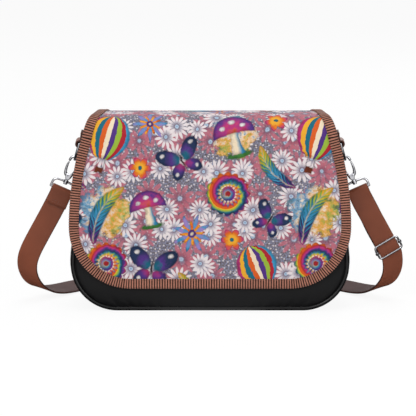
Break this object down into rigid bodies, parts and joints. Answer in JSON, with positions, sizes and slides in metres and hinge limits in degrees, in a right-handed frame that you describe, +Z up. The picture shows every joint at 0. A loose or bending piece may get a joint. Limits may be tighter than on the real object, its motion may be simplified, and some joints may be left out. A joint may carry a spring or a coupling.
{
  "type": "shoulder bag",
  "caption": "Flap-over shoulder bag with a bound curved flap, piped padded body, D-ring tabs, swivel snap hooks and a clip-on strap with a sliding adjuster.",
  "frame": {"origin": "middle of the gusset's flat base, at the surface the bag stands on", "axes": "+X to the right along the width as the flap is seen, +Y from the flap to the back, +Z up"},
  "size_m": [0.3984, 0.159, 0.196],
  "materials": {
    "black_leather": "soft matte coated leather, padded",
    "piping": "matte coated leather",
    "printed_cover": "coated canvas with a printed pattern",
    "flap_cloth": "plain woven lining",
    "webbing": "ribbed woven webbing",
    "brown_leather": "smooth coated leather with painted edges",
    "lining_cloth": "woven polyester",
    "board": "grey board under the lining",
    "zip_cloth": "woven zip tape",
    "zip_metal": "nickel plated zip",
    "nickel": "polished nickel plating",
    "steel": "plain spring steel"
  },
  "bodies": {
    "bag": {"front_panel": "black_leather", "back_panel": "black_leather", "gusset": "black_leather", "front_piping": "piping", "back_piping": "piping", "mouth_rim": "piping", "lining": "lining_cloth", "base_board": "board", "pocket_bag": "lining_cloth", "zip_tape": "zip_cloth", "zip_teeth": "zip_metal", "tail_cover": "printed_cover", "tail_binding": "webbing", "snap_socket": "nickel", "left_tab": "brown_leather", "right_tab": "brown_leather"},
    "flap_crown": {"crown_cover": "printed_cover", "crown_lining": "flap_cloth", "crown_binding": "webbing"},
    "flap_front": {"flap_cover": "printed_cover", "flap_lining": "flap_cloth", "flap_binding": "webbing", "snap_stud": "nickel"},
    "zip_slider": {"zip_slider": "zip_metal"},
    "zip_pull": {"zip_pull": "zip_metal"},
    "left_ring": {"left_ring": "nickel"},
    "right_ring": {"right_ring": "nickel"},
    "strap": {"strap": "brown_leather", "strap_return": "brown_leather", "left_eye": "nickel", "right_eye": "nickel"},
    "left_hook": {"left_hook": "nickel", "left_gate_pin": "steel", "left_gate_spring": "steel"},
    "right_hook": {"right_hook": "nickel", "right_gate_pin": "steel", "right_gate_spring": "steel"},
    "left_gate": {"left_gate": "nickel"},
    "right_gate": {"right_gate": "nickel"},
    "adjuster_bar": {"adjuster_bar": "nickel", "strap_end": "brown_leather"},
    "adjuster_frame": {"adjuster_frame": "nickel"}
  },
  "joints": [
    {"name": "flap_lift", "type": "hinge", "parent": "bag", "child": "flap_crown", "pos_m": [0, 0.03269, 0.1754], "axis": [-1, 0, 0], "range_deg": [0, 85]},
    {"name": "flap_unfold", "type": "hinge", "parent": "flap_crown", "child": "flap_front", "pos_m": [0, -0.03449, 0.1754], "axis": [-1, 0, 0], "range_deg": [0, 85]},
    {"name": "strap_swing", "type": "hinge", "parent": "bag", "child": "strap", "pos_m": [0, 0, 0.15009], "axis": [1, 0, 0], "range_deg": [0, 45]},
    {"name": "left_ring_swing", "type": "hinge", "parent": "bag", "child": "left_ring", "pos_m": [-0.1317, 0, 0.164], "axis": [0, 1, 0], "range_deg": [-4, 1]},
    {"name": "right_ring_swing", "type": "hinge", "parent": "bag", "child": "right_ring", "pos_m": [0.1317, 0, 0.164], "axis": [0, -1, 0], "range_deg": [-4, 1]},
    {"name": "left_hook_swivel", "type": "hinge", "parent": "strap", "child": "left_hook", "pos_m": [-0.1366, 0, 0.14489], "axis": [0.4067, 0, 0.9135], "range_deg": [-6, 6]},
    {"name": "right_hook_swivel", "type": "hinge", "parent": "strap", "child": "right_hook", "pos_m": [0.1366, 0, 0.14489], "axis": [-0.4067, 0, 0.9135], "range_deg": [-6, 6]},
    {"name": "left_gate_turn", "type": "hinge", "parent": "left_hook", "child": "left_gate", "pos_m": [-0.14375, 0, 0.13074], "axis": [0, 1, 0], "range_deg": [0, 20], "stiffness_Nm_per_rad": 0.01, "springref_deg": -11.46},
    {"name": "right_gate_turn", "type": "hinge", "parent": "right_hook", "child": "right_gate", "pos_m": [0.14375, 0, 0.13074], "axis": [0, -1, 0], "range_deg": [0, 20], "stiffness_Nm_per_rad": 0.01, "springref_deg": -11.46},
    {"name": "zip_slide", "type": "slide", "parent": "bag", "child": "zip_slider", "axis": [-1, 0, 0], "range_m": [0, 0.118]},
    {"name": "zip_pull_turn", "type": "hinge", "parent": "zip_slider", "child": "zip_pull", "pos_m": [0.0602, 0.025, 0.13787], "axis": [0, -0.0837, 0.9965], "range_deg": [0, 180]},
    {"name": "adjuster_slide", "type": "slide", "parent": "strap", "child": "adjuster_bar", "axis": [-0.4758, -0.1032, 0.8734], "range_m": [0, 0.025], "deforming": ["strap_return"]},
    {"name": "frame_float", "type": "slide", "parent": "adjuster_bar", "child": "adjuster_frame", "axis": [-0.4758, -0.1032, 0.8734], "range_m": [-0.002, 0.002]}
  ]
}
